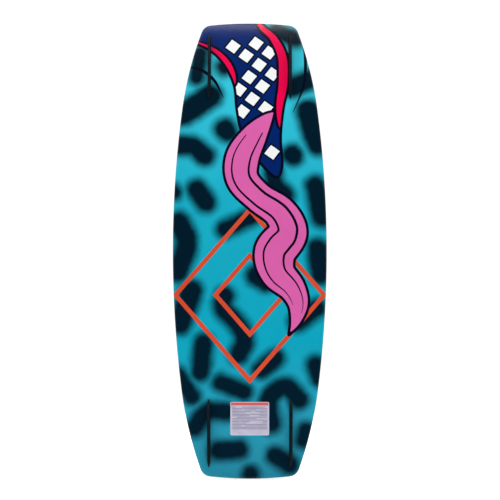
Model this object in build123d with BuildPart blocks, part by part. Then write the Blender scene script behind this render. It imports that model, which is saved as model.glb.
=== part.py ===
from build123d import *
import os
from math import asin, cos, degrees, sin

# A twin-tip wakeboard that stands on its tail: +Z towards the nose, +Y out of the deck,
# -Y out of the base, X across. The origin is the middle of the board's bounding box.
# All lengths are in millimetres.

# Plan shape
LENGTH = 1250.0
WIDTH = 415.0
SIDE_RADIUS = 3150.0  # long curve of each side, through the widest point
SIDE_BREAK = 380.0  # distance from the middle where the sides start to taper
TAPER_RADIUS = 1041.0
TIP_CORNER = 617.0  # distance from the middle to the corners of the tips
CORNER_RADIUS = 30.0

# Side view: the base and the deck are two arcs across the whole length
MIDDLE_THICKNESS = 22.0
TIP_THICKNESS = 12.0
ROCKER = 58.0  # rise of the base from its middle to its tips
BASE_Y = -33.0  # the base at its middle
DECK_RISE = ROCKER + TIP_THICKNESS - MIDDLE_THICKNESS
BASE_RADIUS = ((LENGTH / 2) ** 2 + ROCKER**2) / (2 * ROCKER)
DECK_RADIUS = ((LENGTH / 2) ** 2 + DECK_RISE**2) / (2 * DECK_RISE)
BEVEL_WIDTH = 24.0  # the deck slopes down to the rail over this width
BEVEL_DROP = 5.0
SLAB_REACH = 90.0  # deeper than the board with its rocker
DEPTH_ROUNDS = 8  # repeats that settle the board's depth under a fin's screw

# Layers, from the outside in
SHEET = 0.8
LAMINATE = 1.2
STACK = SHEET + LAMINATE
SKIN_RIM = 3.0  # the skins stop this far inside the outline
CORE_RIM = 12.0
RAIL_ROUND = 4.0
CUTTER_REACH = 5.0  # how far the cutters of deck holes stand clear of the deck

# Stringers
STRINGER_X = 62.0
STRINGER_THICKNESS = 3.0
STRINGER_LENGTH = 1120.0

# Binding inserts: for each foot two clusters 6 in apart, each of 3 rows of 2
INCH = 25.4
STANCE = 21 * INCH
CLUSTER_SPACING = 6 * INCH
INSERT_COLUMNS = 40.0
INSERT_ROWS = (-INCH, 0.0, INCH)
INSERT_BORE = 6.0
INSERT_BARREL = 11.0
INSERT_FLANGE = 15.0
FLANGE_THICKNESS = 1.2
INSERT_LENGTH = 13.4
INSERT_FLOOR = 1.0
INSERT_RECESS = 0.7  # how far the flange sits below the deck
MOUTH_CHAMFER = 0.4
BLOCK_WIDTH = 72.0
BLOCK_LENGTH = 80.0

# Fins
FIN_OFFSET = 111.0
FIN_CENTRE = 501.0
FIN_LENGTH = 188.0
FIN_STRAIGHT = 148.0  # length of the parallel flanks between the pointed ends
FIN_FOOT_WIDTH = 9.6
FIN_TOP_WIDTH = 6.2
FIN_HEIGHT = 22.0
FIN_TOE_HEIGHT = 1.6  # height of the blunt ends
FIN_SINK = 3.0  # how far the blank starts below the base before it is trimmed
FIN_PROFILE = ((-0.62, 0.76), (0.1, 1.0), (0.72, 0.8))  # shares of half the length and height
SCREW_SPACING = 96.0
SCREW_DIAMETER = 4.9
NUT_DIAMETER = 6.6
NUT_BORE = 5.0
NUT_START = 0.4
NUT_LENGTH = 9.0
SCREW_REACH = 8.0  # thread length inside the fin
FERRULE_OUTER = 8.4
FERRULE_INNER = 5.5
WASHER_OUTER = 13.0
WASHER_INNER = 5.3
WASHER_THICKNESS = 1.0
SPOTFACE_DIAMETER = 15.0
SPOTFACE_DEPTH = 0.5
HEAD_DIAMETER = 9.4
HEAD_HEIGHT = 2.8
HEAD_ROUND = 1.4
SOCKET_SIZE = 3.0
SOCKET_DEPTH = 1.6

# Label
LABEL_WIDTH = 104.0
LABEL_HEIGHT = 90.0
LABEL_CORNER = 3.0
LABEL_THICKNESS = 0.2
LABEL_Z = -461.0

ENDS = {"nose": 1, "tail": -1}
SIDES = {"left": -1, "right": 1}
CLUSTERS = {"outer": 1, "inner": -1}


def keep(piece, name):
    """Labels a finished piece and writes its STEP."""
    piece.part.label = name
    export_step(piece.part, f"parts/{name}.step")


def base_y(z):
    """Height of the base arc at this distance along the board."""
    return BASE_Y + BASE_RADIUS * (1 - cos(asin(z / BASE_RADIUS)))


def deck_y(z):
    return BASE_Y + MIDDLE_THICKNESS + DECK_RADIUS * (1 - cos(asin(z / DECK_RADIUS)))


# Outline of the board, seen from the base: two arcs on each side, an arc across each tip
with BuildSketch() as plan:
    with BuildLine():
        side_turn = degrees(asin(SIDE_BREAK / SIDE_RADIUS))
        taper_sine = SIDE_BREAK / SIDE_RADIUS + (TIP_CORNER - SIDE_BREAK) / TAPER_RADIUS
        side = JernArc((WIDTH / 2, 0), (0, 1), SIDE_RADIUS, side_turn)
        taper = JernArc(side @ 1, side % 1, TAPER_RADIUS, degrees(asin(taper_sine)) - side_turn)
        corner = taper @ 1
        ThreePointArc(corner, (0, LENGTH / 2), (-corner.X, corner.Y))
        mirror(side, about=Plane.YZ)
        mirror(taper, about=Plane.YZ)
        mirror(about=Plane.XZ)
    make_face()
    tip_corners = plan.vertices().filter_by(lambda v: abs(v.Y) > SIDE_BREAK + 1)
    fillet(tip_corners, CORNER_RADIUS)
outline = plan.sketch


def rim_prism(inset):
    """A straight prism of the outline, drawn in by this much all round."""
    with BuildPart() as prism:
        with BuildSketch(Plane.XZ):
            add(outline)
            offset(amount=-inset, mode=Mode.REPLACE)
        extrude(amount=SLAB_REACH, both=True)
    return prism.part


def slab(inset):
    """The board between its base and deck arcs, both moved inwards, with the deck's rim bevelled."""
    with BuildPart() as block:
        with BuildSketch(Plane.XZ):
            add(outline)
        extrude(amount=SLAB_REACH, both=True)
        with BuildSketch(Plane.YZ):
            with Locations((BASE_Y + BASE_RADIUS, 0)):
                Circle(BASE_RADIUS - inset)
            with Locations((BASE_Y + MIDDLE_THICKNESS + DECK_RADIUS, 0)):
                Circle(DECK_RADIUS + inset, mode=Mode.SUBTRACT)
        extrude(amount=WIDTH, both=True, mode=Mode.INTERSECT)
        broad_faces = block.faces().sort_by(SortBy.AREA)[-2:]
        deck = broad_faces.sort_by(Axis.Y)[-1]
        chamfer(deck.edges(), length=BEVEL_WIDTH, length2=BEVEL_DROP, reference=deck)
    return block.part


def fin_plane(end, side):
    """A plane on the base at the middle of a fin's foot: x towards the tip, z out of the base."""
    angle = end * asin(FIN_CENTRE / BASE_RADIUS)
    foot = (side * FIN_OFFSET, base_y(FIN_CENTRE), end * FIN_CENTRE)
    towards_tip = (0, end * sin(angle), end * cos(angle))
    return Plane(foot, x_dir=towards_tip, z_dir=(0, -cos(angle), sin(angle)))


def board_depth(place, along):
    """Distance from the base to the deck, square to a fin's plane, at this point along it."""
    on_base = place.from_local_coords((along, 0, 0))
    inwards = -place.z_dir
    depth = MIDDLE_THICKNESS
    for _ in range(DEPTH_ROUNDS):
        point = on_base + inwards * depth
        depth += (deck_y(point.Z) - point.Y) / inwards.Y
    return depth


def screw_points():
    return [(-SCREW_SPACING / 2, 0), (SCREW_SPACING / 2, 0)]


def fin_hole(place, diameter, start, end):
    """Both screw positions of a fin as straight cylinders between two heights over its plane."""
    with BuildPart() as hole:
        with BuildSketch(place.offset(start)):
            with Locations(*screw_points()):
                Circle(diameter / 2)
        extrude(amount=end - start)
    return hole.part


def insert_rows(end, cluster):
    """The z of each row of inserts in one cluster."""
    foot = STANCE / 2 + cluster * CLUSTER_SPACING / 2
    return [end * (foot + row) for row in INSERT_ROWS]


def insert_sites(end, cluster):
    """A plane at the top of each insert's flange: z out of the deck."""
    sites = []
    for z in insert_rows(end, cluster):
        for x in (-INSERT_COLUMNS / 2, INSERT_COLUMNS / 2):
            top = (x, deck_y(z) - INSERT_RECESS, z)
            sites.append(Plane(top, x_dir=(1, 0, 0), z_dir=(0, 1, 0)))
    return sites


def insert_room(site):
    """The space one insert takes up, open above its flange."""
    with BuildPart() as room:
        with BuildSketch(site):
            Circle(INSERT_BARREL / 2)
        extrude(amount=-INSERT_LENGTH)
        with BuildSketch(site.offset(-FLANGE_THICKNESS)):
            Circle(INSERT_FLANGE / 2)
        extrude(amount=FLANGE_THICKNESS + CUTTER_REACH)
    return room.part


def box_through(width, length, x, z):
    """A box right through the board, placed by its middle."""
    with BuildPart() as block:
        with BuildSketch(Plane.XZ):
            with Locations((x, z)):
                Rectangle(width, length)
        extrude(amount=SLAB_REACH, both=True)
    return block.part


os.makedirs("parts", exist_ok=True)

fin_sites = {
    f"{end_name}_{side_name}": fin_plane(end, side)
    for end_name, end in ENDS.items()
    for side_name, side in SIDES.items()
}
cluster_sites = {
    f"{end_name}_{cluster_name}": (end, cluster)
    for end_name, end in ENDS.items()
    for cluster_name, cluster in CLUSTERS.items()
}
insert_rooms = [
    insert_room(site)
    for end, cluster in cluster_sites.values()
    for site in insert_sites(end, cluster)
]
ferrule_rooms = [
    fin_hole(place, FERRULE_OUTER, SLAB_REACH / 2, -SLAB_REACH / 2) for place in fin_sites.values()
]

# Nested slabs: the whole board, the board inside its sheets, and the room inside its laminates
with BuildPart() as whole_board:
    add(slab(0))
    base_face = whole_board.faces().sort_by(SortBy.AREA)[-2:].sort_by(Axis.Y)[0]
    fillet(base_face.edges(), RAIL_ROUND)
inside_sheets = slab(SHEET)
inside_laminates = slab(STACK)
skin_prism = rim_prism(SKIN_RIM)
core_prism = rim_prism(CORE_RIM)
stringer_boxes = {
    side_name: box_through(STRINGER_THICKNESS, STRINGER_LENGTH, side * STRINGER_X, 0)
    for side_name, side in SIDES.items()
}
block_boxes = {
    name: box_through(BLOCK_WIDTH, BLOCK_LENGTH, 0, insert_rows(end, cluster)[1])
    for name, (end, cluster) in cluster_sites.items()
}

with BuildPart() as sheets:
    add(whole_board.part)
    add(skin_prism, mode=Mode.INTERSECT)
    add(inside_sheets, mode=Mode.SUBTRACT)

with BuildPart() as laminates:
    add(inside_sheets)
    add(skin_prism, mode=Mode.INTERSECT)
    add(inside_laminates, mode=Mode.SUBTRACT)

with BuildPart() as base_sheet:
    add(sheets.solids().sort_by(Axis.Y)[0])
    add(ferrule_rooms, mode=Mode.SUBTRACT)
keep(base_sheet, "base_sheet")

with BuildPart() as base_laminate:
    add(laminates.solids().sort_by(Axis.Y)[0])
    add(ferrule_rooms, mode=Mode.SUBTRACT)
keep(base_laminate, "base_laminate")

with BuildPart() as deck_laminate:
    add(laminates.solids().sort_by(Axis.Y)[-1])
    add(ferrule_rooms + insert_rooms, mode=Mode.SUBTRACT)
keep(deck_laminate, "deck_laminate")

with BuildPart() as deck_sheet:
    add(sheets.solids().sort_by(Axis.Y)[-1])
    add(ferrule_rooms + insert_rooms, mode=Mode.SUBTRACT)
    for place in fin_sites.values():
        for along, _ in screw_points():
            depth = board_depth(place, along)
            middle = place.from_local_coords((along, 0, SPOTFACE_DEPTH - depth))
            with BuildSketch(Plane(middle, z_dir=-place.z_dir)):
                Circle(SPOTFACE_DIAMETER / 2)
            extrude(amount=CUTTER_REACH, mode=Mode.SUBTRACT)
keep(deck_sheet, "deck_sheet")

with BuildPart() as foam_core:
    add(inside_laminates)
    add(core_prism, mode=Mode.INTERSECT)
    add([*stringer_boxes.values(), *block_boxes.values(), *ferrule_rooms], mode=Mode.SUBTRACT)
keep(foam_core, "foam_core")

# The rail is cast round the edges of the skins and the core.
with BuildPart() as skin_room:
    add(skin_prism)
    add(inside_laminates, mode=Mode.SUBTRACT)

with BuildPart() as rail:
    add(whole_board.part)
    add([skin_room.part, core_prism], mode=Mode.SUBTRACT)
keep(rail, "rail")

for side_name, box in stringer_boxes.items():
    with BuildPart() as stringer:
        add(inside_laminates)
        add(box, mode=Mode.INTERSECT)
    keep(stringer, f"stringer_{side_name}")

for name, (end, cluster) in cluster_sites.items():
    with BuildPart() as insert_block:
        add(inside_laminates)
        add(block_boxes[name], mode=Mode.INTERSECT)
        add([insert_room(site) for site in insert_sites(end, cluster)], mode=Mode.SUBTRACT)
    keep(insert_block, f"insert_block_{name}")

# Threaded inserts: a flanged brass barrel, open on the deck side only
for name, (end, cluster) in cluster_sites.items():
    with BuildPart() as inserts:
        for site in insert_sites(end, cluster):
            with BuildSketch(site):
                Circle(INSERT_BARREL / 2)
            extrude(amount=-INSERT_LENGTH)
            with BuildSketch(site):
                Circle(INSERT_FLANGE / 2)
            extrude(amount=-FLANGE_THICKNESS)
            with BuildSketch(site):
                Circle(INSERT_BORE / 2)
            extrude(amount=INSERT_FLOOR - INSERT_LENGTH, mode=Mode.SUBTRACT)
    keep(inserts, f"binding_inserts_{name}")


def fin_blank(place):
    """The fin's canoe-shaped plan, drawn in slightly from foot to top."""
    with BuildPart() as blank:
        for height, width in ((-FIN_SINK, FIN_FOOT_WIDTH), (FIN_HEIGHT + FIN_SINK, FIN_TOP_WIDTH)):
            with BuildSketch(place.offset(height)):
                with BuildLine():
                    flank = Line((-FIN_STRAIGHT / 2, width / 2), (FIN_STRAIGHT / 2, width / 2))
                    bow = TangentArc(flank @ 1, (FIN_LENGTH / 2, 0), tangent=flank % 1)
                    mirror(bow, about=Plane.YZ)
                    mirror(about=Plane.XZ)
                make_face()
        loft()
    return blank.part


def fin_profile(place):
    """The fin seen from the side: blunt toes, ramps and a gently arched top edge."""
    toe = FIN_LENGTH / 2
    upright = Plane(place.origin, x_dir=place.x_dir, z_dir=-place.y_dir)
    with BuildPart() as profile:
        with BuildSketch(upright):
            with BuildLine():
                crest = [(along * toe, rise * FIN_HEIGHT) for along, rise in FIN_PROFILE]
                top = Spline((-toe, FIN_TOE_HEIGHT), *crest, (toe, FIN_TOE_HEIGHT))
                Polyline(top @ 1, (toe, -FIN_SINK), (-toe, -FIN_SINK), top @ 0)
            make_face()
        extrude(amount=FIN_FOOT_WIDTH, both=True)
    return profile.part


with BuildPart() as base_drum:
    with BuildSketch(Plane.YZ):
        with Locations((BASE_Y + BASE_RADIUS, 0)):
            Circle(BASE_RADIUS)
    extrude(amount=WIDTH / 2, both=True)

for name, place in fin_sites.items():
    with BuildPart() as fin:
        add(fin_blank(place))
        add(fin_profile(place), mode=Mode.INTERSECT)
        add(base_drum.part, mode=Mode.SUBTRACT)
        add(fin_hole(place, NUT_DIAMETER, NUT_START, NUT_START + NUT_LENGTH), mode=Mode.SUBTRACT)
        add(fin_hole(place, SCREW_DIAMETER, -FIN_SINK, NUT_START), mode=Mode.SUBTRACT)
    keep(fin, f"fin_{name}")

    with BuildPart() as nuts:
        add(fin_hole(place, NUT_DIAMETER, NUT_START, NUT_START + NUT_LENGTH))
        add(fin_hole(place, NUT_BORE, NUT_START, SCREW_REACH), mode=Mode.SUBTRACT)
    keep(nuts, f"fin_nuts_{name}")

    with BuildPart() as ferrules:
        for along, _ in screw_points():
            depth = board_depth(place, along) - SPOTFACE_DEPTH
            with BuildSketch(Plane(place.from_local_coords((along, 0, -depth)), z_dir=place.z_dir)):
                Circle(FERRULE_OUTER / 2)
                Circle(FERRULE_INNER / 2, mode=Mode.SUBTRACT)
            extrude(amount=depth + FIN_SINK)
        add(base_drum.part, mode=Mode.INTERSECT)
    keep(ferrules, f"fin_ferrules_{name}")

    with BuildPart() as washers:
        for along, _ in screw_points():
            depth = board_depth(place, along) - SPOTFACE_DEPTH
            with BuildSketch(Plane(place.from_local_coords((along, 0, -depth)), z_dir=-place.z_dir)):
                Circle(WASHER_OUTER / 2)
                Circle(WASHER_INNER / 2, mode=Mode.SUBTRACT)
            extrude(amount=WASHER_THICKNESS)
    keep(washers, f"fin_washers_{name}")

    with BuildPart() as screws:
        for along, _ in screw_points():
            depth = board_depth(place, along) - SPOTFACE_DEPTH + WASHER_THICKNESS
            under_head = Plane(place.from_local_coords((along, 0, -depth)), z_dir=-place.z_dir)
            with BuildSketch(under_head):
                Circle(SCREW_DIAMETER / 2)
            extrude(amount=-depth - SCREW_REACH)
            with BuildSketch(under_head):
                Circle(HEAD_DIAMETER / 2)
            extrude(amount=HEAD_HEIGHT)
            fillet(screws.faces(Select.LAST).sort_by(Axis.Y)[-1].edges(), HEAD_ROUND)
            with BuildSketch(under_head.offset(HEAD_HEIGHT)):
                RegularPolygon(SOCKET_SIZE / 2, 6, major_radius=False)
            extrude(amount=-SOCKET_DEPTH, mode=Mode.SUBTRACT)
    keep(screws, f"fin_screws_{name}")

with BuildPart() as label:
    with BuildSketch(Plane.XZ):
        with Locations((0, LABEL_Z)):
            RectangleRounded(LABEL_WIDTH, LABEL_HEIGHT, LABEL_CORNER)
    extrude(amount=SLAB_REACH, both=True)
    with BuildSketch(Plane.YZ):
        with Locations((BASE_Y + BASE_RADIUS, 0)):
            Circle(BASE_RADIUS + LABEL_THICKNESS)
            Circle(BASE_RADIUS, mode=Mode.SUBTRACT)
    extrude(amount=LABEL_WIDTH, both=True, mode=Mode.INTERSECT)
keep(label, "label")
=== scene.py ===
import math

import bpy
import numpy as np
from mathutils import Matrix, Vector


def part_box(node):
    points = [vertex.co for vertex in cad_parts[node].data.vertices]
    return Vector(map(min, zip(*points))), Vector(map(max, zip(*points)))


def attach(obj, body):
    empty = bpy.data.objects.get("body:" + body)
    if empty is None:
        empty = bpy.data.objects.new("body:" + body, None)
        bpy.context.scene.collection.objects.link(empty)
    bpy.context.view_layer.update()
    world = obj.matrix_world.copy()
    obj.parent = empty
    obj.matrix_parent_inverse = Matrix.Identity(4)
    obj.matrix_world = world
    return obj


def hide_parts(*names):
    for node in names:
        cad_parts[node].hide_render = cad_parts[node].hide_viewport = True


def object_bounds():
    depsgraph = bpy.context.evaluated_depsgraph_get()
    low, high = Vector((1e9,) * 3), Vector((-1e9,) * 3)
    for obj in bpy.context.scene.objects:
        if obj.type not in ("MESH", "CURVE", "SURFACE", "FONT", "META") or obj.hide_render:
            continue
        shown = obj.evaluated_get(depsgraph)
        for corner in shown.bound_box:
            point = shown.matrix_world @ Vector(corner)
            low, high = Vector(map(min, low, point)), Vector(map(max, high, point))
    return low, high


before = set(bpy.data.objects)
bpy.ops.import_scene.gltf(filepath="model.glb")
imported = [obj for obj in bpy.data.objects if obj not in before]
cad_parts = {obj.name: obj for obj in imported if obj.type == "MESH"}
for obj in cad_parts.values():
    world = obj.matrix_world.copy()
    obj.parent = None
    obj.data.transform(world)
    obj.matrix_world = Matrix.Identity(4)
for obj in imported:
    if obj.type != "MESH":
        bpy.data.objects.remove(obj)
cad_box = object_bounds()

# The board stands on its tail: +Z towards the nose, -Y out of the base, +Y out of the deck.
# Shapes and prints are worked out in millimetres and written to the meshes in metres.
MM = 0.001
HALF_LENGTH = 625.0
HALF_WIDTH = cad_box[1].x / MM
# The outline's arcs: the side's radius up to SIDE_BREAK, the taper's up to TIP_CORNER, then the
# corner's fillet and the arc of the tip
SIDE_RADIUS, SIDE_BREAK = 3150.0, 380.0
TAPER_RADIUS, TIP_CORNER = 1041.0, 617.0
CORNER_RADIUS = 30.0
# The rockered base and deck, as arcs in the YZ plane: y in the middle and radius
BASE_Y, BASE_RADIUS = -33.0, 3396.457
DECK_Y, DECK_RADIUS = -11.0, 4093.01
BEVEL_WIDTH, BEVEL_DROP = 24.0, 5.0  # the deck's edge slopes down to the rail
SHEET, STACK = 0.8, 2.0  # thickness of a printed sheet, and of sheet and glass together
SKIN_RIM, CORE_RIM = 3.0, 12.0  # how far the skins and the core stop short of the outline
RAIL_ROUND, CREST_ROUND = 4.0, 1.2  # the rail's round into the base and into the bevel


# ---------------------------------------------------------------- outline and surfaces


def quarter_arcs():
    """The arcs of a quarter of the outline, side to tip: centre x, z, radius, first, last angle."""
    side_turn = math.asin(SIDE_BREAK / SIDE_RADIUS)
    side_x = HALF_WIDTH - SIDE_RADIUS
    step = SIDE_RADIUS - TAPER_RADIUS
    taper_x = side_x + step * math.cos(side_turn)
    taper_z = step * math.sin(side_turn)
    tip_turn = math.asin((TIP_CORNER - taper_z) / TAPER_RADIUS)
    corner_x = taper_x + TAPER_RADIUS * math.cos(tip_turn)
    sag = HALF_LENGTH - TIP_CORNER
    tip_radius = (corner_x**2 + sag**2) / (2 * sag)
    tip_z = HALF_LENGTH - tip_radius
    # The corner's fillet touches both arcs from inside.
    to_taper, to_tip = TAPER_RADIUS - CORNER_RADIUS, tip_radius - CORNER_RADIUS
    across, up = -taper_x, tip_z - taper_z
    apart = math.hypot(across, up)
    along = (to_taper**2 - to_tip**2 + apart**2) / (2 * apart)
    aside = math.sqrt(to_taper**2 - along**2)
    fillet_x = taper_x + (along * across + aside * abs(up)) / apart
    fillet_z = taper_z + (along * up + aside * abs(across)) / apart
    leave_taper = math.atan2(fillet_z - taper_z, fillet_x - taper_x)
    reach_tip = math.atan2(fillet_z - tip_z, fillet_x)
    middle = (leave_taper + reach_tip) / 2
    return [
        (side_x, 0.0, SIDE_RADIUS, 0.0, side_turn),
        (taper_x, taper_z, TAPER_RADIUS, side_turn, leave_taper),
        (fillet_x, fillet_z, CORNER_RADIUS, leave_taper, middle),
        (fillet_x, fillet_z, CORNER_RADIUS, middle, reach_tip),
        (0.0, tip_z, tip_radius, reach_tip, math.pi / 2),
    ]


def walk(arcs, count):
    """count evenly spaced points along the arcs, as rows of x, z and the outward normal."""
    lengths = [radius * (last - first) for _, _, radius, first, last in arcs]
    ends = np.concatenate([[0.0], np.cumsum(lengths)])
    rows = []
    for s in np.linspace(0.0, ends[-1], count):
        i = min(int(np.searchsorted(ends, s, side="right")) - 1, len(arcs) - 1)
        x, z, radius, first, last = arcs[i]
        angle = first + (s - ends[i]) / radius
        normal = (math.cos(angle), math.sin(angle))
        rows.append((x + radius * normal[0], z + radius * normal[1], *normal))
    return np.array(rows)


def mirrored(rows, axis):
    """The rows reflected in x (axis 0) or z (axis 1), in the opposite order."""
    signs = np.array([-1.0, 1.0, -1.0, 1.0]) if axis == 0 else np.array([1.0, -1.0, 1.0, -1.0])
    return rows[::-1] * signs


ARCS = quarter_arcs()
SIDE_ARCS, TIP_ARCS = ARCS[:3], ARCS[3:]


def inward(rows, depth):
    """The x and z of points this far inside rows of x, z and the outward normal."""
    return rows[:, :2] - depth * rows[:, 2:]


def base_y(z):
    return BASE_Y + BASE_RADIUS - np.sqrt(BASE_RADIUS**2 - np.square(z))


def deck_y(z):
    return DECK_Y + DECK_RADIUS - np.sqrt(DECK_RADIUS**2 - np.square(z))


def add_object(name, data):
    """An object in the scene, with this data."""
    thing = bpy.data.objects.new(name, data)
    bpy.context.scene.collection.objects.link(thing)
    return thing


def mesh_object(name, points, faces, smooth=True):
    """An object from points in millimetres."""
    mesh = bpy.data.meshes.new(name)
    mesh.from_pydata((np.asarray(points) * MM).tolist(), [], faces)
    mesh.polygons.foreach_set("use_smooth", np.full(len(faces), smooth))
    mesh.update()
    return add_object(name, mesh)


def grid_faces(rows, columns, start=0, flip=False):
    """Quads of a grid of points stored row by row."""
    faces = []
    for r in range(rows - 1):
        for c in range(columns - 1):
            a = start + r * columns + c
            quad = (a, a + 1, a + columns + 1, a + columns)
            faces.append(quad[::-1] if flip else quad)
    return faces


def loop_faces(rings, around, flip=False, joined=True):
    """Quads between closed rings of points; the last ring joins the first, unless told not to."""
    faces = []
    for r in range(rings if joined else rings - 1):
        for c in range(around):
            a, b = r * around, ((r + 1) % rings) * around
            d = (c + 1) % around
            quad = (a + c, a + d, b + d, b + c)
            faces.append(quad[::-1] if flip else quad)
    return faces


# ---------------------------------------------------------------- the base's print

# Each airbrushed spot is a stroke in board millimetres: the radius of its brush, then its points,
# x to the right of the middle and z up
SPOTS = [
    (16, (-136, 537), (-146, 468)),
    (14, (-73, 499), (-70, 494)),
    (28, (-180, 366), (-108, 416)),
    (24, (-68, 324), (-62, 318)),
    (22, (-196, 278), (-156, 276), (-122, 250)),
    (18, (75, 602), (128, 580)),
    (23, (121, 441), (172, 466)),
    (29, (160, 372), (186, 286)),
    (22, (114, 253), (118, 250)),
    (22, (-143, 158), (-119, 122)),
    (14, (-206, 153), (-202, 149)),
    (24, (-192, 68), (-170, 11), (-195, -65)),
    (18, (7, 84), (-67, 49)),
    (19, (62, 212), (69, 171), (96, 143)),
    (22, (177, 167), (194, 82)),
    (22, (183, -3), (190, -72)),
    (22, (17, -76), (42, -92)),
    (25, (-157, -118), (-188, -204)),
    (20, (-67, -131), (-72, -163), (-29, -211), (-15, -250), (-29, -288)),
    (19, (181, -163), (129, -201)),
    (20, (-125, -257), (-132, -333)),
    (19, (69, -299), (31, -329)),
    (19, (177, -316), (190, -351)),
    (18, (-195, -343), (-157, -400)),
    (18, (-78, -364), (-15, -389)),
    (20, (58, -476), (52, -410), (94, -375), (134, -410)),
    (19, (-150, -486), (-116, -443), (-63, -443)),
    (20, (-83, -548), (-29, -545)),
    (19, (69, -562), (107, -587)),
    (15, (152, -490), (145, -521)),
    (16, (0, -611), (4, -611)),
]

# The navy field at the nose, drawn past the board's edge where it runs off it
FIELD = [
    (-250, 610), (-128, 556), (-76, 512), (-44, 448), (-36, 380), (-24, 320), (4, 262), (44, 212),
    (74, 190), (88, 224), (84, 300), (92, 380), (106, 450), (104, 530), (74, 590), (24, 640),
    (-20, 760), (-180, 760),
]
# The crimson linings along its edge: side, lowest and highest z, width
LININGS = [(1, 322, 650, 31), (-1, 444, 582, 21)]
FIELD_MIDDLE = ((-26, 600), (34, 320))  # the line between the two linings

# The pink streamer: points of its centre line with its half width, and steps between them
STREAMER = [
    (66, 372, 3), (42, 346, 20), (10, 302, 37), (-20, 244, 47), (-20, 186, 45), (24, 136, 42),
    (82, 94, 46), (104, 40, 52), (68, -12, 57), (74, -66, 48), (112, -108, 38), (130, -150, 29),
    (124, -196, 16), (106, -234, 2),
]
STREAMER_STEPS = 16
# Pen lines along it: half width, how far aside as a share of its half width, first and last place
STREAMER_LINES = [(3.6, -0.46, 0.12, 0.9), (3.0, 0.52, 0.16, 0.86)]
# Thin pen strokes beside the field: half width at the thickest point, then the path
PEN_STROKES = [
    (4.6, (-164, 499), (-128, 487), (-96, 458), (-72, 412)),
    (4.2, (140, 583), (150, 552), (153, 500), (146, 440), (118, 370)),
]

# The orange frames, in metres: their middle's z and half the outer one's width and height. Each
# frame is a line round that shape, at a share of its size.
RHOMBUS_Z, RHOMBUS_HALF = -0.128, (0.2, 0.23)
RHOMBUS_SHARES = (1.0, 0.46)
RHOMBUS_LINE, RHOMBUS_SOFT = 0.039, 0.0016  # half the line's width and its edge, in the same share

SPOT_EDGE, SPOT_SOFT = 10.5, 16.5  # past the brush's radius, where the colour is half gone
SPOT_WOBBLE, SPOT_MIST = 9.0, 5.0  # how far noise moves that edge, coarse and fine
OUTLINE = 3.7  # half the width of the pen line round each shape
PEN_SOFT = 0.25  # how soft a pen line's edge is
PEN_REACH = 12.0  # beyond this a point is not beside a stroke
PEN_FIRST, PEN_TURN = 0.14, 0.8  # a stroke swells as this part of half a sine wave
NO_PEN = -1.0  # the half width where there is no stroke
FAR, OUTSIDE = 1e9, 1e3  # farther than any shape, and what is written where there is none
LATTICE_TILT = math.radians(-8)
LATTICE_PITCH = (64.0, 62.0)  # from one diamond to the next, across and along
DIAMOND_SHARE = 0.86  # of the pitch
DIAMOND_INK = 0.1  # width of its pen line, in the same share
DIAMOND_SOFT = 0.004  # its edge's softness, in the same share
DIAMOND_ROOM = 6.0  # a diamond's middle lies at least this far inside the navy
DIAMOND_LOWEST, DIAMOND_HIGHEST = 225.0, 580.0


def spline(points, steps, closed=False):
    """A Catmull-Rom curve through the points."""
    p = np.array(points, float)
    if closed:
        p = np.vstack([p[-1:], p, p[:2]])
    else:
        p = np.vstack([2 * p[0] - p[1], p, 2 * p[-1] - p[-2]])
    t = np.linspace(0.0, 1.0, steps, endpoint=False)[:, None]
    parts = []
    for a, b, c, d in zip(p[:-3], p[1:-2], p[2:-1], p[3:], strict=True):
        cubic = 3 * b - a - 3 * c + d
        parts.append(b + 0.5 * t * (c - a + t * (2 * a - 5 * b + 4 * c - d + t * cubic)))
    curve = np.vstack(parts)
    return curve if closed else np.vstack([curve, p[-2]])


def distance(xz, line):
    """Each point's distance to a run of points, and how far along the run it is, from 0 to 1."""
    best = np.full(len(xz), FAR)
    place = np.zeros(len(xz))
    for i, (a, b) in enumerate(zip(line[:-1], line[1:], strict=True)):
        ab = b - a
        t = np.clip(((xz - a) @ ab) / max(ab @ ab, 1e-9), 0.0, 1.0)
        d = np.hypot(*(xz - a - t[:, None] * ab).T)
        closer = d < best
        best[closer] = d[closer]
        place[closer] = (i + t[closer]) / (len(line) - 1)
    return best, place


def signed(xz, loop):
    """Distance to a closed outline, negative inside."""
    closed = np.vstack([loop, loop[:1]])
    gap, _ = distance(xz, closed)
    inside = np.zeros(len(xz), bool)
    for a, b in zip(closed[:-1], closed[1:], strict=True):
        if a[1] != b[1]:
            crosses = (a[1] > xz[:, 1]) != (b[1] > xz[:, 1])
            x = a[0] + (xz[:, 1] - a[1]) * (b[0] - a[0]) / (b[1] - a[1])
            inside ^= crosses & (xz[:, 0] < x)
    return np.where(inside, -gap, gap)


def streamer_distance(xz):
    """Signed distance to the streamer, the sweep of a disc that grows and shrinks along its line."""
    gap = np.full(len(xz), FAR)
    for x, z, half in spline(STREAMER, STREAMER_STEPS):
        gap = np.minimum(gap, np.hypot(xz[:, 0] - x, xz[:, 1] - z) - half)
    return gap


def streamer_lines():
    """The pen lines that run along the streamer, as paths with their half widths."""
    line = spline(STREAMER, STREAMER_STEPS)
    along = np.gradient(line[:, :2], axis=0)
    along /= np.hypot(*along.T)[:, None]
    aside = np.column_stack([along[:, 1], -along[:, 0]])
    for thickest, share, first, last in STREAMER_LINES:
        # Every fifth point is enough for the path
        run = slice(int(first * len(line)), int(last * len(line)), 5)
        yield thickest, line[run, :2] + aside[run] * line[run, 2:] * share


def spots_distance(xz):
    """Signed distance to the edge of the nearest spot's brush."""
    gap = np.full(len(xz), FAR)
    for radius, *stroke in SPOTS:
        line = spline(stroke, steps=6) if len(stroke) > 2 else np.array(stroke, float)
        gap = np.minimum(gap, distance(xz, line)[0] - radius)
    return gap


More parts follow.
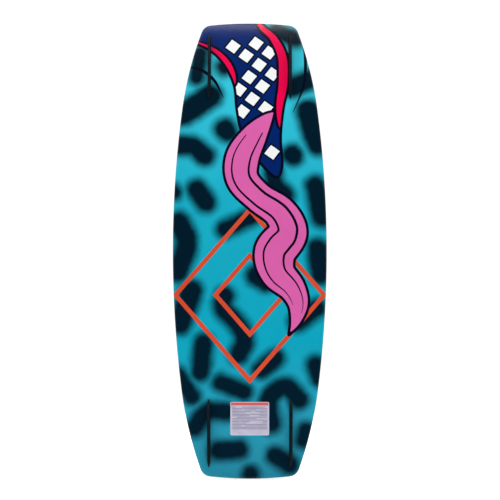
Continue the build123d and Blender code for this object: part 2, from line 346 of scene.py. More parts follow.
def pen_sides(xz):
    """Each point's signed distance to the nearest pen stroke, and the stroke's half width there."""
    nearest = np.full(len(xz), FAR)
    side = np.full(len(xz), OUTSIDE)
    half = np.full(len(xz), NO_PEN)
    strokes = [(thickest, path) for thickest, *path in PEN_STROKES]
    for thickest, path in strokes + list(streamer_lines()):
        line = spline(path, steps=10)
        gap, place = distance(xz, line)
        along = np.gradient(line, axis=0)
        i = np.clip(np.rint(place * (len(line) - 1)).astype(int), 0, len(line) - 1)
        away = xz - line[i]
        sign = np.sign(along[i, 0] * away[:, 1] - along[i, 1] * away[:, 0])
        swell = thickest * np.sin(np.pi * np.clip(place * PEN_TURN + PEN_FIRST, 0, 1))
        beside = (place > 0.0) & (place < 1.0) & (gap < PEN_REACH)
        closer = gap < nearest
        nearest[closer] = gap[closer]
        side[closer] = (sign * gap)[closer]
        half[closer] = np.where(beside, swell, NO_PEN)[closer]
    return side, half


def lining(xz, field):
    """Signed distance to the crimson linings, from the distance to the field's edge."""
    (high_x, high_z), (low_x, low_z) = FIELD_MIDDLE
    middle = np.interp(xz[:, 1], (low_z, high_z), (low_x, high_x))
    gap = np.full(len(xz), OUTSIDE)
    for side, low, high, width in LININGS:
        share = np.clip((xz[:, 1] - low) / (high - low), 0, 1)
        edge = -field - width * np.sqrt(np.sin(np.pi * share))
        here = side * (xz[:, 0] - middle) > 0
        gap[here] = edge[here]
    return gap


def lattice(xz):
    """Coordinates in which the navy field's diamonds are the unit squares of a grid."""
    cos, sin = math.cos(LATTICE_TILT), math.sin(LATTICE_TILT)
    across = (xz[:, 0] * cos - xz[:, 1] * sin) / LATTICE_PITCH[0]
    along = (xz[:, 0] * sin + xz[:, 1] * cos) / LATTICE_PITCH[1]
    return across + along, across - along


def from_lattice(s, t):
    """The points with these lattice coordinates."""
    cos, sin = math.cos(LATTICE_TILT), math.sin(LATTICE_TILT)
    across = (s + t) / 2 * LATTICE_PITCH[0]
    along = (s - t) / 2 * LATTICE_PITCH[1]
    return np.column_stack([across * cos + along * sin, -across * sin + along * cos])


def add_print(piece):
    """Gives each point of a piece its distances to the print's shapes."""
    mesh = piece.data
    co = np.zeros(len(mesh.vertices) * 3, np.float32)
    mesh.vertices.foreach_get("co", co)
    xz = co.reshape(-1, 3)[:, [0, 2]].astype(float) / MM
    outline = spline(FIELD, steps=8, closed=True)
    field = signed(xz, outline)
    s, t = lattice(xz)
    middles = from_lattice(np.floor(s) + 0.5, np.floor(t) + 0.5)
    room = np.minimum(lining(middles, signed(middles, outline)), streamer_distance(middles))
    within = (middles[:, 1] > DIAMOND_LOWEST) & (middles[:, 1] < DIAMOND_HIGHEST)
    pen_side, pen_half = pen_sides(xz)
    values = {
        "spots": spots_distance(xz),
        "field": field,
        "lining": lining(xz, field),
        "streamer": streamer_distance(xz),
        "pen_side": pen_side,
        "pen_half": pen_half,
        "lattice_s": s,
        "lattice_t": t,
        "lattice_on": (within & (room > DIAMOND_ROOM)).astype(float),
    }
    for name, value in values.items():
        layer = mesh.attributes.new(name, "FLOAT", "POINT")
        layer.data.foreach_set("value", value.astype(np.float32))


# ---------------------------------------------------------------- materials


def paint(red, green, blue):
    """A colour from 0-255 display values."""

    def linear(v):
        v /= 255
        return v / 12.92 if v <= 0.04045 else ((v + 0.055) / 1.055) ** 2.4

    return (linear(red), linear(green), linear(blue), 1.0)


class Nodes:
    """A node tree that is written as expressions."""

    def __init__(self, tree):
        self.nodes, self.links = tree.nodes, tree.links

    def plug(self, socket, value):
        if isinstance(value, bpy.types.NodeSocket):
            self.links.new(value, socket)
        else:
            socket.default_value = value

    def add(self, kind, inputs=None, **settings):
        node = self.nodes.new(kind)
        for key, value in settings.items():
            setattr(node, key, value)
        for key, value in (inputs or {}).items():
            self.plug(node.inputs[key], value)
        return node

    def math(self, operation, a, b=0.0):
        return self.add("ShaderNodeMath", {0: a, 1: b}, operation=operation).outputs[0]

    def apart(self, a, b):
        """The difference of two values, without its sign."""
        return self.math("ABSOLUTE", self.math("SUBTRACT", a, b))

    def step(self, value, low, high):
        """0 up to low and 1 from high on, with a smooth step between; low may be over high."""
        inputs = {"Value": value, "From Min": low, "From Max": high}
        return self.add("ShaderNodeMapRange", inputs, interpolation_type="SMOOTHSTEP").outputs[0]


class Shader(Nodes):
    """A material; its keywords are the surface's sockets, with _ for each space."""

    def __init__(self, name, **sockets):
        self.material = bpy.data.materials.new(name)
        self.material.use_nodes = True
        super().__init__(self.material.node_tree)
        self.surface = self.nodes["Principled BSDF"]
        for socket, value in sockets.items():
            self.surface.inputs[socket.replace("_", " ")].default_value = value

    def value(self, name):
        """A number that is stored with the mesh."""
        return self.add("ShaderNodeAttribute", attribute_name=name).outputs["Fac"]

    def place(self):
        """The shaded point in the object's own frame, which no view or pose moves."""
        return self.add("ShaderNodeTexCoord").outputs["Object"]

    def axes(self):
        """The x, y and z of the shaded point, in metres."""
        return self.add("ShaderNodeSeparateXYZ", {0: self.place()}).outputs

    def stretched(self, x, y, z):
        """The shaded point with its axes scaled; a small scale draws a pattern out along that axis."""
        node = self.add("ShaderNodeMapping", {"Vector": self.place(), "Scale": (x, y, z)})
        return node.outputs[0]

    def below(self, value, edge, soft):
        """1 where the value is under the edge, 0 over it, with a soft step between."""
        return self.step(value, edge + soft, edge - soft)

    def spread(self, value, low, high, to_low, to_high):
        """The value, moved from the range low to high into another range."""
        inputs = {
            "Value": value,
            "From Min": low,
            "From Max": high,
            "To Min": to_low,
            "To Max": to_high,
        }
        return self.add("ShaderNodeMapRange", inputs).outputs[0]

    def vary(self, noise, to_low, to_high):
        """Noise keeps to the middle of its range; this spreads that part from to_low to to_high."""
        return self.spread(noise, 0.3, 0.7, to_low, to_high)

    def noise(self, size, detail=2.0, roughness=0.5, vector=None):
        """Smooth noise from 0 to 1 with features of about this size, in metres."""
        inputs = {
            "Vector": vector or self.place(),
            "Scale": 1 / size,
            "Detail": detail,
            "Roughness": roughness,
        }
        return self.add("ShaderNodeTexNoise", inputs).outputs["Fac"]

    def mix(self, factor, a, b):
        """The colour a where the factor is 0, b where it is 1."""
        node = self.add("ShaderNodeMix", data_type="RGBA")
        self.plug(node.inputs["Factor"], factor)
        self.plug(node.inputs[6], a)
        self.plug(node.inputs[7], b)
        return node.outputs[2]

    def ramp(self, factor, *stops):
        """A colour from stops of position and colour."""
        node = self.add("ShaderNodeValToRGB", {0: factor})
        stripes = node.color_ramp.elements
        while len(stripes) < len(stops):
            stripes.new(0.5)
        for stripe, (position, colour) in zip(stripes, stops, strict=True):
            stripe.position = position
            stripe.color = colour
        return node.outputs[0]

    def bump(self, height, strength, depth):
        inputs = {"Height": height, "Strength": strength, "Distance": depth}
        self.plug(self.surface.inputs["Normal"], self.add("ShaderNodeBump", inputs).outputs[0])

    def colour(self, value):
        self.plug(self.surface.inputs["Base Color"], value)

    def roughness(self, value):
        self.plug(self.surface.inputs["Roughness"], value)


INK = paint(5, 9, 30)


def printed_base():
    """Sublimated print under a satin polyethylene base."""
    s = Shader("base_print", Specular_IOR_Level=0.2, IOR=1.5)
    # Painted shade and painted light: the print's teal is painted darker towards the tail and lighter
    # towards the nose, as light from above falls on the rocker
    along = s.spread(s.axes()[2], -HALF_LENGTH * MM, HALF_LENGTH * MM, 0.0, 1.0)
    teal = s.ramp(
        along,
        (0.0, paint(34, 127, 149)),
        (0.12, paint(37, 149, 175)),
        (0.3, paint(14, 164, 190)),
        (0.6, paint(27, 177, 202)),
        (0.85, paint(54, 199, 222)),
        (1.0, paint(64, 194, 210)),
    )
    cloud = s.noise(0.09, 3.0)
    teal = s.mix(s.vary(cloud, 0.0, 0.12), teal, paint(14, 120, 150))
    grain = s.noise(0.0011, 2.0)
    wobble = s.math("MULTIPLY", s.math("SUBTRACT", s.noise(0.028, 3.0), 0.5), SPOT_WOBBLE)
    mist = s.math("MULTIPLY", s.math("SUBTRACT", grain, 0.5), SPOT_MIST)
    spots = s.math("ADD", s.math("ADD", s.value("spots"), wobble), mist)
    body = s.mix(s.below(spots, SPOT_EDGE, SPOT_SOFT), teal, paint(1, 27, 42))

    x, _, z = s.axes()
    aside = s.math("MULTIPLY", s.math("ABSOLUTE", x), 1 / RHOMBUS_HALF[0])
    away = s.math("MULTIPLY", s.apart(z, RHOMBUS_Z), 1 / RHOMBUS_HALF[1])
    reach = s.math("ADD", aside, away)
    frames = s.math("MINIMUM", *[s.apart(reach, share) for share in RHOMBUS_SHARES])
    orange = s.mix(s.vary(cloud, 0.0, 0.5), paint(216, 80, 50), paint(196, 62, 40))
    body = s.mix(s.below(frames, RHOMBUS_LINE, RHOMBUS_SOFT), body, orange)

    pink = s.mix(s.vary(cloud, 0.0, 0.35), paint(220, 100, 172), paint(206, 88, 160))
    pen = s.math("SUBTRACT", s.math("ABSOLUTE", s.value("pen_side")), s.value("pen_half"))
    drawn = s.below(pen, 0.0, PEN_SOFT)
    body = s.mix(drawn, body, INK)

    navy = s.mix(s.vary(cloud, 0.0, 0.5), paint(3, 38, 108), paint(2, 26, 88))
    crimson = s.mix(s.vary(cloud, 0.0, 0.4), paint(240, 4, 78), paint(216, 6, 68))
    off_middle = [
        s.apart(s.math("FRACT", s.value(name)), 0.5) for name in ("lattice_s", "lattice_t")
    ]
    diamond = s.math("MAXIMUM", *off_middle)
    shown = s.math("GREATER_THAN", s.value("lattice_on"), 0.5)
    for colour, inset in ((INK, 0.0), (paint(241, 244, 244), DIAMOND_INK)):
        within = s.below(diamond, DIAMOND_SHARE / 2 - inset, DIAMOND_SOFT)
        navy = s.mix(s.math("MULTIPLY", within, shown), navy, colour)

    def outlined(under, name, inside):
        """A shape of the print, inside its pen line."""
        under = s.mix(s.below(s.value(name), OUTLINE, PEN_SOFT), under, INK)
        return s.mix(s.below(s.value(name), -OUTLINE, PEN_SOFT), under, inside)

    navy = outlined(navy, "lining", crimson)
    body = outlined(body, "field", navy)
    body = outlined(body, "streamer", s.mix(drawn, pink, INK))
    body = s.mix(s.vary(grain, 0.0, 0.1), body, s.mix(0.35, body, INK))
    s.colour(body)

    scratches = s.noise(0.0009, 2.0, vector=s.stretched(1.0, 1.0, 0.012))
    s.roughness(s.vary(scratches, 0.06, 0.11))
    peel = s.noise(0.007, 2.0)
    height = s.math("ADD", s.math("MULTIPLY", scratches, 0.08), peel)
    s.bump(height, 0.08, 0.00035)
    return s.material


def cast_resin():
    s = Shader("rail_resin", Specular_IOR_Level=0.4)
    flow = s.noise(0.05, 4.0)
    s.colour(s.mix(s.vary(flow, 0.0, 0.6), paint(9, 20, 32), paint(14, 44, 58)))
    s.roughness(s.vary(s.noise(0.004, 3.0), 0.28, 0.46))
    s.bump(s.noise(0.0035, 2.0), 0.2, 0.0003)
    return s.material


# The deck's stripe, in metres: half its width, half its border's width, and how soft they end
STRIPE_HALF, BORDER_HALF, STRIPE_SOFT = 0.052, 0.003, 0.0003
DECK_TONE = 0.6  # the deck's colours turn from tail to nose between minus and plus this z
DECK_SPOTS, DECK_SPOTS_SOFT = 0.455, 0.03  # a spot lies where noise is under this level


def topsheet():
    """The deck's gloss sheet: soft spots on navy, and a dark bordered stripe along the middle."""
    s = Shader("deck_print", Specular_IOR_Level=0.22, Coat_Weight=0.08, Coat_Roughness=0.1)
    x, _, z = s.axes()
    cloud = s.noise(0.16, 2.0, 0.4)
    along = s.spread(z, -DECK_TONE, DECK_TONE, 0.0, 1.0)
    deep = s.mix(along, paint(8, 34, 58), paint(10, 46, 104))
    teal = s.mix(along, paint(16, 116, 140), paint(26, 150, 176))
    spots = s.noise(0.075, 0.6, 0.3, s.stretched(1.0, 0.0, 0.55))
    body = s.mix(s.below(spots, DECK_SPOTS, DECK_SPOTS_SOFT), teal, deep)
    body = s.mix(s.vary(cloud, 0.0, 0.2), body, paint(4, 24, 44))
    from_middle = s.math("ABSOLUTE", x)
    border = s.apart(from_middle, STRIPE_HALF)
    brushed = s.noise(0.0016, 3.0, vector=s.stretched(1.0, 1.0, 0.02))
    dark = s.mix(s.spread(brushed, 0.35, 0.65, 0.0, 1.0), paint(3, 19, 42), paint(8, 34, 68))
    body = s.mix(s.below(from_middle, STRIPE_HALF, STRIPE_SOFT), body, dark)
    body = s.mix(s.below(border, BORDER_HALF, STRIPE_SOFT), body, paint(212, 76, 48))
    grain = s.noise(0.0012, 2.0)
    body = s.mix(s.vary(grain, 0.0, 0.14), body, paint(2, 16, 30))
    s.colour(body)
    s.roughness(s.vary(s.noise(0.002, 3.0), 0.26, 0.4))
    s.bump(s.math("ADD", s.noise(0.006, 2.0), s.math("MULTIPLY", brushed, 0.3)), 0.14, 0.0003)
    return s.material


def laminate():
    """Woven glass in clear resin."""
    s = Shader("glass_laminate", Specular_IOR_Level=0.5)
    threads = {"Vector": s.place(), "Scale": 260.0, "Distortion": 0.6}
    weave = [s.add("ShaderNodeTexWave", threads, bands_direction=axis) for axis in "XZ"]
    cloth = s.math("MULTIPLY", *[node.outputs["Fac"] for node in weave])
    s.colour(s.mix(cloth, paint(150, 160, 140), paint(206, 212, 190)))
    s.roughness(s.vary(s.noise(0.01, 2.0), 0.25, 0.4))
    s.bump(cloth, 0.3, 0.0002)
    return s.material


def foam():
    s = Shader("core_foam", Specular_IOR_Level=0.2)
    cells = s.add("ShaderNodeTexVoronoi", {"Vector": s.place(), "Scale": 900.0}).outputs["Distance"]
    s.colour(s.mix(cells, paint(226, 202, 140), paint(244, 228, 178)))
    s.roughness(s.vary(s.noise(0.01), 0.8, 0.95))
    s.bump(cells, 0.5, 0.0004)
    return s.material


def wood(name, pale, dark):
    s = Shader(name, Specular_IOR_Level=0.3)
    grain = s.noise(0.0016, 4.0, vector=s.stretched(1.0, 1.0, 0.03))
    s.colour(s.mix(grain, dark, pale))
    s.roughness(s.vary(grain, 0.5, 0.7))
    s.bump(grain, 0.3, 0.0003)
    return s.material


def metal(name, pale, dark, rough):
    """Turned metal: fine tool marks, and darker patches."""
    s = Shader(name, Metallic=1.0)
    marks = s.noise(0.0004, 2.0, vector=s.stretched(1.0, 6.0, 1.0))
    patches = s.noise(0.004, 3.0)
    s.colour(s.mix(s.vary(patches, 0.0, 1.0), dark, pale))
    s.roughness(s.math("ADD", s.math("MULTIPLY", marks, 0.2), rough))
    s.bump(marks, 0.15, 0.0001)
    return s.material


def moulded_nylon():
    """Fine spark-eroded texture, with a painted highlight: paler in patches along the crest."""
    s = Shader("fin_nylon", Specular_IOR_Level=0.1)
    speckle = s.noise(0.0007, 3.0, 0.6)
    patches = s.noise(0.03, 3.0)
    body = s.mix(s.vary(patches, 0.0, 1.0), paint(2, 9, 17), paint(4, 15, 25))
    # Painted highlight: the band under the crest is made paler, in patches
    crest_highlight = s.math("MULTIPLY", s.value("crest"), s.spread(patches, 0.35, 0.65, 0.05, 0.4))
    body = s.mix(crest_highlight, body, paint(24, 36, 46))
    s.colour(body)
    s.roughness(s.vary(speckle, 0.36, 0.56))
    s.bump(speckle, 0.3, 0.0003)
    return s.material


# The label, in shares of its width and height
LABEL_HEADING, LABEL_EDGE = 0.1, 0.004
LABEL_MARGIN, LABEL_MARGIN_SOFT = 0.012, 0.003
LABEL_BLOCK = ((0.5, 0.455), (0.52, 0.35))  # the rules' middle and half size, across and up
LABEL_ROWS = 23
RULE_HALF, RULE_SOFT = 0.21, 0.05  # of a row
# The rules break off where noise rises over a level: places along a rule, the step of that noise
# from row to row, the level and its softness
BREAKS, BREAK_STEP, BREAK_LEVEL, BREAK_SOFT = 2.4, 7.31, 0.62, 0.006


def sticker():
    """A blank instruction label: a coloured heading, plain rules and a pale foot."""
    s = Shader("label_print", Specular_IOR_Level=0.5)
    low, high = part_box("label")
    x, _, z = s.axes()
    u = s.spread(x, low.x, high.x, 0.0, 1.0)
    v = s.spread(z, low.z, high.z, 0.0, 1.0)
    paper = s.mix(s.vary(s.noise(0.02, 3.0), 0.0, 1.0), paint(190, 186, 204), paint(174, 170, 190))
    rows = s.math("MULTIPLY", v, LABEL_ROWS)
    off_rule = s.apart(s.math("FRACT", rows), 0.5)
    row = s.math("MULTIPLY", s.math("FLOOR", rows), BREAK_STEP)
    cut = s.add("ShaderNodeCombineXYZ", {"X": s.math("MULTIPLY", u, BREAKS), "Y": row}).outputs[0]
    shown = s.below(s.noise(1.0, 0.0, vector=cut), BREAK_LEVEL, BREAK_SOFT)
    lines = s.math("MULTIPLY", s.below(off_rule, RULE_HALF, RULE_SOFT), shown)
    for value, (middle, half) in zip((u, v), LABEL_BLOCK, strict=True):
        within = s.below(s.apart(value, middle), half, LABEL_EDGE)
        lines = s.math("MULTIPLY", lines, within)
    body = s.mix(lines, paper, paint(120, 112, 140))
    heading = s.below(s.math("SUBTRACT", 1.0, v), LABEL_HEADING, LABEL_EDGE)
    body = s.mix(heading, body, paint(208, 84, 84))
    off_middle = s.math("MAXIMUM", s.apart(u, 0.5), s.apart(v, 0.5))
    inset = s.math("SUBTRACT", 0.5, off_middle)
    body = s.mix(s.below(inset, LABEL_MARGIN, LABEL_MARGIN_SOFT), body, paint(214, 212, 224))
    s.colour(body)
    s.roughness(s.vary(s.noise(0.003, 2.0), 0.35, 0.5))
    s.bump(s.noise(0.002, 2.0), 0.15, 0.0001)
    return s.material


# ---------------------------------------------------------------- pieces


def finish_piece(piece, material, slot, *nodes):
    """Gives a piece its material and its body, and hides the CAD nodes that it stands for; slot is not
    used.
    """
    piece.data.materials.append(material)
    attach(piece, "root")
    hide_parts(*nodes)


SHEET_COLUMNS, SHEET_ROWS = 105, 313  # points of the printed sheet, about 4 mm apart


def base_sheet(material):
    """The printed sheet on the base arc, its rim following the rail's round."""
    half_tip = walk(TIP_ARCS, SHEET_COLUMNS // 2 + 1)[::-1]
    half_side = walk(SIDE_ARCS, SHEET_ROWS // 2 + 1)
    tip = np.vstack([mirrored(half_tip, 0), half_tip[1:]])
    side = np.vstack([mirrored(half_side, 1), half_side[1:]])
    # A grid of points between the nose's and the right side's lines and their mirror images
    tip_x, tip_z = inward(tip, RAIL_ROUND).T
    side_x, side_z = inward(side, RAIL_ROUND).T
    u = np.linspace(-1, 1, SHEET_COLUMNS)[None, :]
    v = np.linspace(-1, 1, SHEET_ROWS)[:, None]
    x = u * side_x[:, None] + tip_x[None, :] - u * side_x[-1]
    z = side_z[:, None] + v * tip_z[None, :] - v * side_z[-1]
    top = np.column_stack([x.ravel(), base_y(z).ravel(), z.ravel()])
    under = top + [0, SHEET, 0]

    # The rim's walk: along the tail, up the right side, along the nose, down the left side
    index = np.arange(SHEET_ROWS * SHEET_COLUMNS).reshape(SHEET_ROWS, SHEET_COLUMNS)
    walked = [index[0, :-1], index[:-1, -1], index[-1, :0:-1], index[:0:-1, 0]]
    edge = np.concatenate(walked).tolist()
    tail = tip * [1, -1, 1, -1]
    left = side * [-1, 1, -1, 1]
    loop = np.vstack([tail[:-1], side[:-1], tip[:0:-1], left[:0:-1]])
    rim_x, rim_z = inward(loop, SKIN_RIM).T
    reach = RAIL_ROUND - SKIN_RIM
    drop = RAIL_ROUND - math.sqrt(RAIL_ROUND**2 - reach**2)
    rim = np.column_stack([rim_x, base_y(rim_z) + drop, rim_z])
    rim_under = rim + [0, SHEET, 0]

    under_start, rim_start = len(top), 2 * len(top)
    rim_under_start = rim_start + len(rim)
    faces = grid_faces(SHEET_ROWS, SHEET_COLUMNS)
    faces += grid_faces(SHEET_ROWS, SHEET_COLUMNS, start=under_start, flip=True)
    for i, a in enumerate(edge):
        j = (i + 1) % len(edge)
        b = edge[j]
        faces.append((b, a, rim_start + i, rim_start + j))
        faces.append((rim_start + j, rim_start + i, rim_under_start + i, rim_under_start + j))
        faces.append((under_start + a, under_start + b, rim_under_start + j, rim_under_start + i))
    piece = mesh_object("base_sheet_print", np.vstack([top, under, rim, rim_under]), faces)
    add_print(piece)
    finish_piece(piece, material, "base_graphic", "base_sheet")


QUARTER_POINTS = 261  # of the rail's outline
ROUND_POINTS = 9  # of the rail's round into the base, in its section
PRINTED_ROWS = 7  # rows of faces on that round that carry the print


def rail_section():
    """The rail's section: inset from the outline, surface it is measured from, distance above it."""

    def bevel(depth):
        return BEVEL_DROP * (1 - depth / BEVEL_WIDTH)

    first = math.degrees(math.acos(1 / RAIL_ROUND))
    section = []
    for angle in np.radians(np.linspace(first, 180.0, ROUND_POINTS)):
        depth = RAIL_ROUND + RAIL_ROUND * math.cos(angle)
        section.append((depth, base_y, RAIL_ROUND - RAIL_ROUND * math.sin(angle)))
    section[0] = (SKIN_RIM, base_y, section[0][2])
    for turn in (0.0, math.pi / 4, math.pi / 2):
        depth = CREST_ROUND * (1 - math.cos(turn))
        section.append((depth, deck_y, -bevel(0) - CREST_ROUND * (1 - math.sin(turn))))
    section.append((SKIN_RIM, deck_y, -bevel(SKIN_RIM)))
    section.append((SKIN_RIM, deck_y, -bevel(SKIN_RIM) - STACK))
    section.append((CORE_RIM, deck_y, -bevel(CORE_RIM) - STACK))
    section.append((CORE_RIM, base_y, STACK))
    section.append((SKIN_RIM, base_y, STACK))
    return section


def rail_ring(print_material, resin):
    """The cast rail: rounded into the base, upright at the side, bevelled into the deck."""
    quarter = walk(ARCS, QUARTER_POINTS)
    half = np.vstack([quarter, mirrored(quarter, 0)[1:]])
    loop = np.vstack([half, -half[1:-1]])
    rings = []
    for depth, surface_y, above in rail_section():
        x, z = inward(loop, depth).T
        rings.append(np.column_stack([x, surface_y(z) + above, z]))
    faces = loop_faces(len(rings), len(loop), flip=True)
    piece = mesh_object("rail_ring", np.vstack(rings), faces)
    add_print(piece)
    piece.data.materials.append(print_material)
    finish_piece(piece, resin, "rail", "rail")
    kinds = np.ones(len(faces), np.int32)
    kinds[: PRINTED_ROWS * len(loop)] = 0
    piece.data.polygons.foreach_set("material_index", kinds)


FIN_LENGTH, FIN_STRAIGHT, FIN_HEIGHT = 188.0, 148.0, 22.0
FIN_FOOT, FIN_CREST, FIN_TOE = 9.6, 6.2, 1.6  # width at the foot and crest, height at the ends
FIN_OFFSET, FIN_CENTRE = 111.0, 501.0  # its middle from the board's middle, across and along
# The crest's line between the ends, as shares of half the length and of the height
FIN_RISE = ((-0.62, 0.76), (0.1, 1.0), (0.72, 0.8))
FIN_STATIONS, FIN_AROUND = 120, 14  # points along it and round its section
FIN_ROUNDING, FIN_TOE_ROUNDING = 2.2, 0.45  # the crest's round, at most this share of the height
FIN_THINNEST = 0.02  # share of the width that is left at the very ends
FLANK_SPACING = 0.55  # below 1, the points of a section crowd towards the crest
CREST_BAND = 2.5  # the part below the crest that gets the painted highlight


def fin_section(place, top, wide):
    """The points round a fin's section: x, height over the base's tangent, and how much painted
    highlight.
    """
    sink = BASE_RADIUS - math.sqrt(BASE_RADIUS**2 - place**2)  # of the base, at this place
    rounding = min(FIN_ROUNDING, FIN_TOE_ROUNDING * top)
    for k in range(FIN_AROUND):
        turn = math.pi * k / (FIN_AROUND - 1)
        level = -sink + (top + sink) * max(math.sin(turn), 0.0) ** FLANK_SPACING
        share = np.clip(level / FIN_HEIGHT, 0, 1)
        width = (FIN_FOOT + (FIN_CREST - FIN_FOOT) * share) / 2 * wide
        bend = np.clip((top - level) / rounding, 0, 1)
        reach = math.sqrt(max(1 - (1 - bend) ** 2, 0.0))
        x = math.copysign(width * reach, math.cos(turn))
        yield x, level, max(0.0, 1 - (top - level) / CREST_BAND)


def fin(name, end, side, material):
    """A canoe-shaped fin: pointed ends, ramped toes and a rounded crest on a rounded foot."""
    half = FIN_LENGTH / 2
    rise = [(along * half, up * FIN_HEIGHT) for along, up in FIN_RISE]
    profile = spline([(-half, FIN_TOE), *rise, (half, FIN_TOE)], steps=24)
    places = half * np.sin(np.linspace(-math.pi / 2, math.pi / 2, FIN_STATIONS))
    tops = np.interp(places, profile[:, 0], profile[:, 1])
    straight = FIN_STRAIGHT / 2
    past = np.clip(np.abs(places) - straight, 0, None) / (half - straight)
    widths = np.maximum(1 - past**2, FIN_THINNEST)
    tilt = end * math.asin(FIN_CENTRE / BASE_RADIUS)
    towards = np.array([0.0, end * math.sin(tilt), end * math.cos(tilt)])
    outwards = np.array([0.0, -math.cos(tilt), math.sin(tilt)])
    origin = np.array([side * FIN_OFFSET, base_y(FIN_CENTRE), end * FIN_CENTRE])
    points, crests = [], []
    for place, top, wide in zip(places, tops, widths, strict=True):
        for x, level, crest_highlight in fin_section(place, top, wide):
            points.append(origin + towards * place + outwards * level + np.array([x, 0, 0]))
            crests.append(crest_highlight)
    flip = end > 0
    faces = loop_faces(FIN_STATIONS, FIN_AROUND, flip=flip, joined=False)
    first, last = range(FIN_AROUND), range(len(points) - FIN_AROUND, len(points))
    for cap in (first[::-1], last):
        faces.append(tuple(cap[::-1] if flip else cap))
    piece = mesh_object(name + "_moulding", points, faces)
    layer = piece.data.attributes.new("crest", "FLOAT", "POINT")
    layer.data.foreach_set("value", np.array(crests, np.float32))
    finish_piece(piece, material, "fin_nylon", name)


def dress(names, material):
    """Puts a material on CAD nodes that are shown as they are."""
    for name in names:
        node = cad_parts[name]
        node.data.materials.clear()
        node.data.materials.append(material)


def starting(*prefixes):
    """The CAD nodes whose names start with one of these."""
    return [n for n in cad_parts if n.startswith(prefixes)]


# ---------------------------------------------------------------- studio

# The lamps: name, place, aim, width and height, watts
SOFTBOXES = [
    ("overhead_front", (0.0, -2.2, 2.58), (0.0, 0.0, 0.4), (2.6, 0.8), 46.0),
    ("left_front", (-2.6, -1.9, 0.5), (0.0, 0.0, 0.0), (0.9, 1.8), 9.5),
    ("right_front", (2.6, -1.9, 0.3), (0.0, 0.0, 0.0), (0.9, 1.8), 7.0),
    ("back", (-1.4, 2.6, 1.6), (0.0, 0.0, 0.0), (1.2, 1.2), 14.0),
]
# Brightness of the studio's walls and ceiling, and the white that the camera sees behind the board
WALL_LEVEL, CEILING_LEVEL, BACKDROP_LEVEL = 0.68, 1.45, 1.05
CEILING_EDGE = (0.4, 0.75)  # heights of the view direction between which it brightens
# The dark wall in front: where it starts and ends in the view direction's y and z, and how dark
DARK_WALL_Y, DARK_WALL_Z = (-0.74, -0.85), (0.62, 0.55)
DARK_WALL_SHARE = 0.93
FLOOR_RADIUS, FLOOR_POINTS = 1600.0, 96
FLOOR_BEHIND = 0.9  # the floor's middle lies this far behind the board
FLOOR_GLOW = 0.22
FLOOR_DROP = 0.0002  # below the board's lowest point
CAMERA_PLACE = (0.0006, -3.4, -0.2)
CAMERA_TILT = 3.28  # degrees up from level
CAMERA_LENS, CAMERA_SENSOR = 90.15, 36.0


def softbox(name, place, aim, size, watts):
    """A lamp with a plain rectangular face."""
    data = bpy.data.lights.new(name, "AREA")
    data.shape = "RECTANGLE"
    data.size, data.size_y = size
    data.energy = watts
    lamp = add_object(name, data)
    lamp.location = place
    lamp.rotation_euler = (Vector(aim) - Vector(place)).to_track_quat("-Z", "Y").to_euler()


def studio_world():
    """White to the camera. The gloss mirrors a dark wall in front, which keeps the print deep."""
    world = bpy.data.worlds.new("studio")
    bpy.context.scene.world = world
    world.use_nodes = True
    n = Nodes(world.node_tree)
    direction = n.add("ShaderNodeTexCoord").outputs["Generated"]
    _, y, z = n.add("ShaderNodeSeparateXYZ", {0: direction}).outputs
    wall = n.math("MULTIPLY", n.step(y, *DARK_WALL_Y), n.step(z, *DARK_WALL_Z))
    ceiling = n.math("MULTIPLY", n.step(z, *CEILING_EDGE), CEILING_LEVEL - WALL_LEVEL)
    level = n.math("ADD", WALL_LEVEL, ceiling)
    level = n.math("SUBTRACT", level, n.math("MULTIPLY", wall, WALL_LEVEL * DARK_WALL_SHARE))
    seen = n.add("ShaderNodeLightPath").outputs["Is Camera Ray"]
    shown = n.math("MAXIMUM", level, n.math("MULTIPLY", seen, BACKDROP_LEVEL))
    sky = n.nodes["Background"]
    n.plug(sky.inputs["Strength"], shown)
    n.plug(sky.inputs["Color"], (1.0, 1.0, 1.0, 1.0))


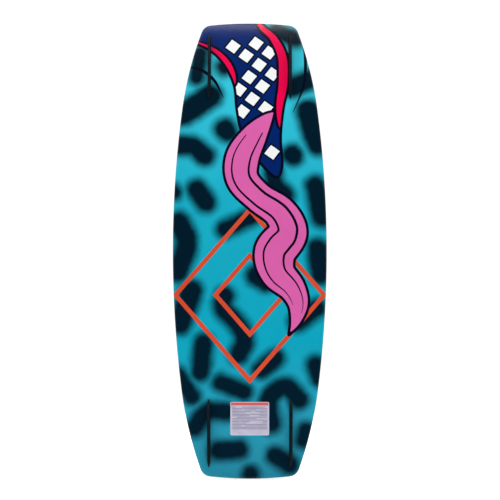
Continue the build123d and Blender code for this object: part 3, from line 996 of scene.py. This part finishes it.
def floor_disc(level):
    """A plain pale floor."""
    points = [(0.0, 0.0, 0.0)]
    for i in range(FLOOR_POINTS):
        angle = 2 * math.pi * i / FLOOR_POINTS
        points.append((FLOOR_RADIUS * math.cos(angle), FLOOR_RADIUS * math.sin(angle), 0.0))
    faces = [(0, 1 + i, 1 + (i + 1) % FLOOR_POINTS) for i in range(FLOOR_POINTS)]
    piece = mesh_object("floor", points, faces, smooth=False)
    piece.location = (0.0, FLOOR_BEHIND, level)
    # A little light of its own keeps the board's shadow on it faint, as in the photograph
    glow = {"Emission_Color": (1.0, 1.0, 1.0, 1.0), "Emission_Strength": FLOOR_GLOW}
    s = Shader("floor_paper", Specular_IOR_Level=0.1, **glow)
    s.colour(s.mix(s.noise(0.4, 2.0), paint(247, 247, 247), paint(251, 251, 251)))
    s.roughness(s.vary(s.noise(0.02), 0.8, 0.95))
    piece.data.materials.append(s.material)
    piece.visible_glossy = False  # the board's gloss mirrors the studio's walls only


def set_camera():
    data = bpy.data.cameras.new("camera")
    data.lens = CAMERA_LENS
    data.sensor_width = CAMERA_SENSOR
    camera = add_object("camera", data)
    camera.location = CAMERA_PLACE
    camera.rotation_euler = (math.radians(90 + CAMERA_TILT), 0.0, 0.0)
    bpy.context.scene.camera = camera


set_camera()
studio_world()
for lamp in SOFTBOXES:
    softbox(*lamp)
bpy.context.scene.view_settings.view_transform = "Standard"

base_material = printed_base()
base_sheet(base_material)
rail_ring(base_material, cast_resin())
nylon = moulded_nylon()
for end_name, end in (("nose", 1), ("tail", -1)):
    for side_name, side in (("left", -1), ("right", 1)):
        fin(f"fin_{end_name}_{side_name}", end, side, nylon)
stringer_wood = wood("stringer_wood", paint(214, 182, 130), paint(176, 134, 82))
block_board = wood("block_board", paint(70, 72, 76), paint(40, 42, 46))
brass = metal("brass", paint(214, 180, 110), paint(176, 140, 78), 0.22)
steel = metal("steel", paint(196, 198, 202), paint(150, 152, 158), 0.2)
dress(["deck_sheet"], topsheet())
dress(["base_laminate", "deck_laminate"], laminate())
dress(["foam_core"], foam())
dress(starting("stringer"), stringer_wood)
dress(starting("insert_block"), block_board)
dress(starting("binding_inserts", "fin_nuts"), brass)
dress(starting("fin_screws", "fin_washers", "fin_ferrules"), steel)
dress(["label"], sticker())
floor_disc(cad_box[0].z - FLOOR_DROP)
